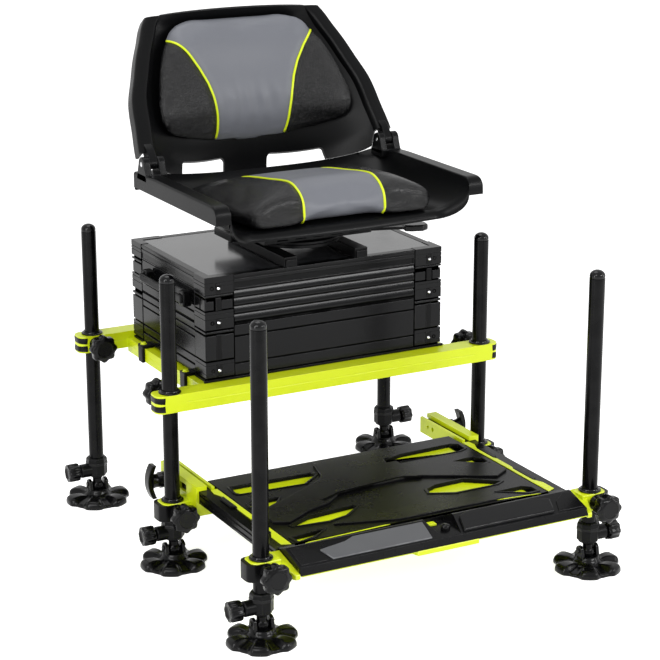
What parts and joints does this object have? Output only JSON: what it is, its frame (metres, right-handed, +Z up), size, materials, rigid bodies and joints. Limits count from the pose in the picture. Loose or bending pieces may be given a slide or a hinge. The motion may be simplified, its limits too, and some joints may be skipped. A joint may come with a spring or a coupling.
{
  "type": "fishing seat box",
  "caption": "Fishing seat box on adjustable clamp legs, with a two-tier tackle box, a folding swivel seat with cushions, and a sliding footplate in front.",
  "frame": {"origin": "on the floor, under the middle of the whole object's box", "axes": "+Z up; the sitter faces -Y, towards the footplate; +X is to the viewer's right, seen from the front"},
  "size_m": [0.698, 0.7736, 0.8418],
  "materials": {
    "lime_paint": "satin",
    "black_anodised": "satin",
    "black_plastic": "matte",
    "knob_plastic": "satin",
    "box_shell": "satin",
    "lid_panel": "satin",
    "lever_steel": "satin",
    "cushion_vinyl": "satin",
    "deck_rubber": "matte"
  },
  "bodies": {
    "frame": {"front_rail": "lime_paint", "rear_frame": "lime_paint", "box_base": "box_shell"},
    "tray": {"tray_unit": "box_shell", "carry_handle_left": "black_plastic", "carry_handle_right": "black_plastic"},
    "lid": {"box_lid": "lid_panel", "seat_base": "black_plastic"},
    "seat": {"swivel_plate": "black_plastic", "seat_shell": "black_plastic", "seat_cushion": "cushion_vinyl"},
    "lever": {"swivel_lever": "lever_steel"},
    "back": {"back_shell": "black_plastic", "back_cushion": "cushion_vinyl"},
    "carrier": {"bracket_left": "lime_paint", "bracket_right": "lime_paint"},
    "footplate": {"footplate_frame": "lime_paint", "footplate_deck": "deck_rubber", "slide_rail_left": "black_anodised", "slide_rail_right": "black_anodised"},
    "leg_rear_left": {"leg_tube_rear_left": "black_anodised", "foot_socket_rear_left": "black_plastic"},
    "inner_rear_left": {"inner_leg_rear_left": "black_anodised"},
    "foot_rear_left": {"foot_rear_left": "black_plastic"},
    "foot_screw_rear_left": {"foot_knob_rear_left": "knob_plastic"},
    "clamp_rear_left": {"clamp_knob_rear_left": "knob_plastic"},
    "leg_rear_right": {"leg_tube_rear_right": "black_anodised", "foot_socket_rear_right": "black_plastic"},
    "inner_rear_right": {"inner_leg_rear_right": "black_anodised"},
    "foot_rear_right": {"foot_rear_right": "black_plastic"},
    "foot_screw_rear_right": {"foot_knob_rear_right": "knob_plastic"},
    "clamp_rear_right": {"clamp_knob_rear_right": "knob_plastic"},
    "leg_middle_left": {"leg_tube_middle_left": "black_anodised", "foot_socket_middle_left": "black_plastic"},
    "inner_middle_left": {"inner_leg_middle_left": "black_anodised"},
    "foot_middle_left": {"foot_middle_left": "black_plastic"},
    "foot_screw_middle_left": {"foot_knob_middle_left": "knob_plastic"},
    "clamp_middle_left": {"clamp_knob_middle_left": "knob_plastic"},
    "leg_middle_right": {"leg_tube_middle_right": "black_anodised", "foot_socket_middle_right": "black_plastic"},
    "inner_middle_right": {"inner_leg_middle_right": "black_anodised"},
    "foot_middle_right": {"foot_middle_right": "black_plastic"},
    "foot_screw_middle_right": {"foot_knob_middle_right": "knob_plastic"},
    "clamp_middle_right": {"clamp_knob_middle_right": "knob_plastic"},
    "leg_front_left": {"leg_tube_front_left": "black_anodised", "foot_socket_front_left": "black_plastic"},
    "inner_front_left": {"inner_leg_front_left": "black_anodised"},
    "foot_front_left": {"foot_front_left": "black_plastic"},
    "foot_screw_front_left": {"foot_knob_front_left": "knob_plastic"},
    "clamp_front_left": {"clamp_knob_front_left": "knob_plastic"},
    "leg_front_right": {"leg_tube_front_right": "black_anodised", "foot_socket_front_right": "black_plastic"},
    "inner_front_right": {"inner_leg_front_right": "black_anodised"},
    "foot_front_right": {"foot_front_right": "black_plastic"},
    "foot_screw_front_right": {"foot_knob_front_right": "knob_plastic"},
    "clamp_front_right": {"clamp_knob_front_right": "knob_plastic"},
    "bracket_clamp_left": {"bracket_knob_left": "knob_plastic"},
    "t_screw_left": {"t_knob_left": "knob_plastic"},
    "bracket_clamp_right": {"bracket_knob_right": "knob_plastic"},
    "t_screw_right": {"t_knob_right": "knob_plastic"}
  },
  "joints": [
    {"name": "tray_open", "type": "hinge", "parent": "frame", "child": "tray", "pos_m": [0, 0.31275, 0.384], "axis": [1, 0, 0], "range_deg": [-85, 0]},
    {"name": "lid_open", "type": "hinge", "parent": "tray", "child": "lid", "pos_m": [0, 0.31275, 0.441], "axis": [-1, 0, 0], "range_deg": [0, 90]},
    {"name": "seat_swivel", "type": "hinge", "parent": "lid", "child": "seat", "pos_m": [0, 0.12275, 0.489], "axis": [0, 0, 1], "continuous": true},
    {"name": "lever_pull", "type": "hinge", "parent": "seat", "child": "lever", "pos_m": [0.056, 0.09275, 0.496], "axis": [0, 0, 1], "range_deg": [-10, 0]},
    {"name": "back_fold", "type": "hinge", "parent": "seat", "child": "back", "pos_m": [0, 0.20975, 0.617], "axis": [1, 0, 0], "range_deg": [0, 118]},
    {"name": "footplate_lift", "type": "slide", "parent": "frame", "child": "carrier", "axis": [0, 0, 1], "range_m": [0, 0.09]},
    {"name": "footplate_extend", "type": "slide", "parent": "carrier", "child": "footplate", "axis": [0, -1, 0], "range_m": [0, 0.08]},
    {"name": "slide_leg_rear_left", "type": "slide", "parent": "frame", "child": "leg_rear_left", "axis": [0, 0, 1], "range_m": [-0.17, 0.17]},
    {"name": "extend_foot_rear_left", "type": "slide", "parent": "leg_rear_left", "child": "inner_rear_left", "axis": [0, 0, 1], "range_m": [-0.12, 0]},
    {"name": "tilt_foot_rear_left", "type": "hinge", "parent": "inner_rear_left", "child": "foot_rear_left", "pos_m": [-0.289, 0.33075, 0.027], "axis": [1, 0, 0], "range_deg": [-20, 20]},
    {"name": "turn_foot_screw_rear_left", "type": "hinge", "parent": "leg_rear_left", "child": "foot_screw_rear_left", "pos_m": [-0.289, 0.33075, 0.057], "axis": [-1, 0, 0], "continuous": true},
    {"name": "turn_clamp_rear_left", "type": "hinge", "parent": "frame", "child": "clamp_rear_left", "pos_m": [-0.289, 0.33075, 0.29], "axis": [0, -1, 0], "continuous": true},
    {"name": "slide_leg_rear_right", "type": "slide", "parent": "frame", "child": "leg_rear_right", "axis": [0, 0, 1], "range_m": [-0.17, 0.17]},
    {"name": "extend_foot_rear_right", "type": "slide", "parent": "leg_rear_right", "child": "inner_rear_right", "axis": [0, 0, 1], "range_m": [-0.12, 0]},
    {"name": "tilt_foot_rear_right", "type": "hinge", "parent": "inner_rear_right", "child": "foot_rear_right", "pos_m": [0.289, 0.33075, 0.027], "axis": [1, 0, 0], "range_deg": [-20, 20]},
    {"name": "turn_foot_screw_rear_right", "type": "hinge", "parent": "leg_rear_right", "child": "foot_screw_rear_right", "pos_m": [0.289, 0.33075, 0.057], "axis": [1, 0, 0], "continuous": true},
    {"name": "turn_clamp_rear_right", "type": "hinge", "parent": "frame", "child": "clamp_rear_right", "pos_m": [0.289, 0.33075, 0.29], "axis": [0, -1, 0], "continuous": true},
    {"name": "slide_leg_middle_left", "type": "slide", "parent": "frame", "child": "leg_middle_left", "axis": [0, 0, 1], "range_m": [-0.17, 0]},
    {"name": "extend_foot_middle_left", "type": "slide", "parent": "leg_middle_left", "child": "inner_middle_left", "axis": [0, 0, 1], "range_m": [-0.12, 0]},
    {"name": "tilt_foot_middle_left", "type": "hinge", "parent": "inner_middle_left", "child": "foot_middle_left", "pos_m": [-0.289, 0.00275, 0.027], "axis": [1, 0, 0], "range_deg": [-20, 20]},
    {"name": "turn_foot_screw_middle_left", "type": "hinge", "parent": "leg_middle_left", "child": "foot_screw_middle_left", "pos_m": [-0.289, 0.00275, 0.057], "axis": [-1, 0, 0], "continuous": true},
    {"name": "turn_clamp_middle_left", "type": "hinge", "parent": "frame", "child": "clamp_middle_left", "pos_m": [-0.289, 0.00275, 0.278], "axis": [0, 1, 0], "continuous": true},
    {"name": "slide_leg_middle_right", "type": "slide", "parent": "frame", "child": "leg_middle_right", "axis": [0, 0, 1], "range_m": [-0.17, 0]},
    {"name": "extend_foot_middle_right", "type": "slide", "parent": "leg_middle_right", "child": "inner_middle_right", "axis": [0, 0, 1], "range_m": [-0.12, 0]},
    {"name": "tilt_foot_middle_right", "type": "hinge", "parent": "inner_middle_right", "child": "foot_middle_right", "pos_m": [0.289, 0.00275, 0.027], "axis": [1, 0, 0], "range_deg": [-20, 20]},
    {"name": "turn_foot_screw_middle_right", "type": "hinge", "parent": "leg_middle_right", "child": "foot_screw_middle_right", "pos_m": [0.289, 0.00275, 0.057], "axis": [1, 0, 0], "continuous": true},
    {"name": "turn_clamp_middle_right", "type": "hinge", "parent": "frame", "child": "clamp_middle_right", "pos_m": [0.289, 0.00275, 0.278], "axis": [0, 1, 0], "continuous": true},
    {"name": "slide_leg_front_left", "type": "slide", "parent": "footplate", "child": "leg_front_left", "axis": [0, 0, 1], "range_m": [-0.3, 0.02]},
    {"name": "extend_foot_front_left", "type": "slide", "parent": "leg_front_left", "child": "inner_front_left", "axis": [0, 0, 1], "range_m": [-0.12, 0]},
    {"name": "tilt_foot_front_left", "type": "hinge", "parent": "inner_front_left", "child": "foot_front_left", "pos_m": [-0.293, -0.32675, 0.027], "axis": [1, 0, 0], "range_deg": [-20, 20]},
    {"name": "turn_foot_screw_front_left", "type": "hinge", "parent": "leg_front_left", "child": "foot_screw_front_left", "pos_m": [-0.293, -0.32675, 0.057], "axis": [-1, 0, 0], "continuous": true},
    {"name": "turn_clamp_front_left", "type": "hinge", "parent": "footplate", "child": "clamp_front_left", "pos_m": [-0.293, -0.32675, 0.118], "axis": [0, -1, 0], "continuous": true},
    {"name": "slide_leg_front_right", "type": "slide", "parent": "footplate", "child": "leg_front_right", "axis": [0, 0, 1], "range_m": [-0.3, 0.02]},
    {"name": "extend_foot_front_right", "type": "slide", "parent": "leg_front_right", "child": "inner_front_right", "axis": [0, 0, 1], "range_m": [-0.12, 0]},
    {"name": "tilt_foot_front_right", "type": "hinge", "parent": "inner_front_right", "child": "foot_front_right", "pos_m": [0.293, -0.32675, 0.027], "axis": [1, 0, 0], "range_deg": [-20, 20]},
    {"name": "turn_foot_screw_front_right", "type": "hinge", "parent": "leg_front_right", "child": "foot_screw_front_right", "pos_m": [0.293, -0.32675, 0.057], "axis": [1, 0, 0], "continuous": true},
    {"name": "turn_clamp_front_right", "type": "hinge", "parent": "footplate", "child": "clamp_front_right", "pos_m": [0.293, -0.32675, 0.118], "axis": [0, -1, 0], "continuous": true},
    {"name": "turn_bracket_clamp_left", "type": "hinge", "parent": "carrier", "child": "bracket_clamp_left", "pos_m": [-0.289, 0.00275, 0.096], "axis": [0, -1, 0], "continuous": true},
    {"name": "turn_t_knob_left", "type": "hinge", "parent": "carrier", "child": "t_screw_left", "pos_m": [-0.28, 0.07275, 0.12], "axis": [-1, 0, 0], "continuous": true},
    {"name": "turn_bracket_clamp_right", "type": "hinge", "parent": "carrier", "child": "bracket_clamp_right", "pos_m": [0.289, 0.00275, 0.096], "axis": [0, -1, 0], "continuous": true},
    {"name": "turn_t_knob_right", "type": "hinge", "parent": "carrier", "child": "t_screw_right", "pos_m": [0.28, 0.07275, 0.12], "axis": [1, 0, 0], "continuous": true}
  ]
}
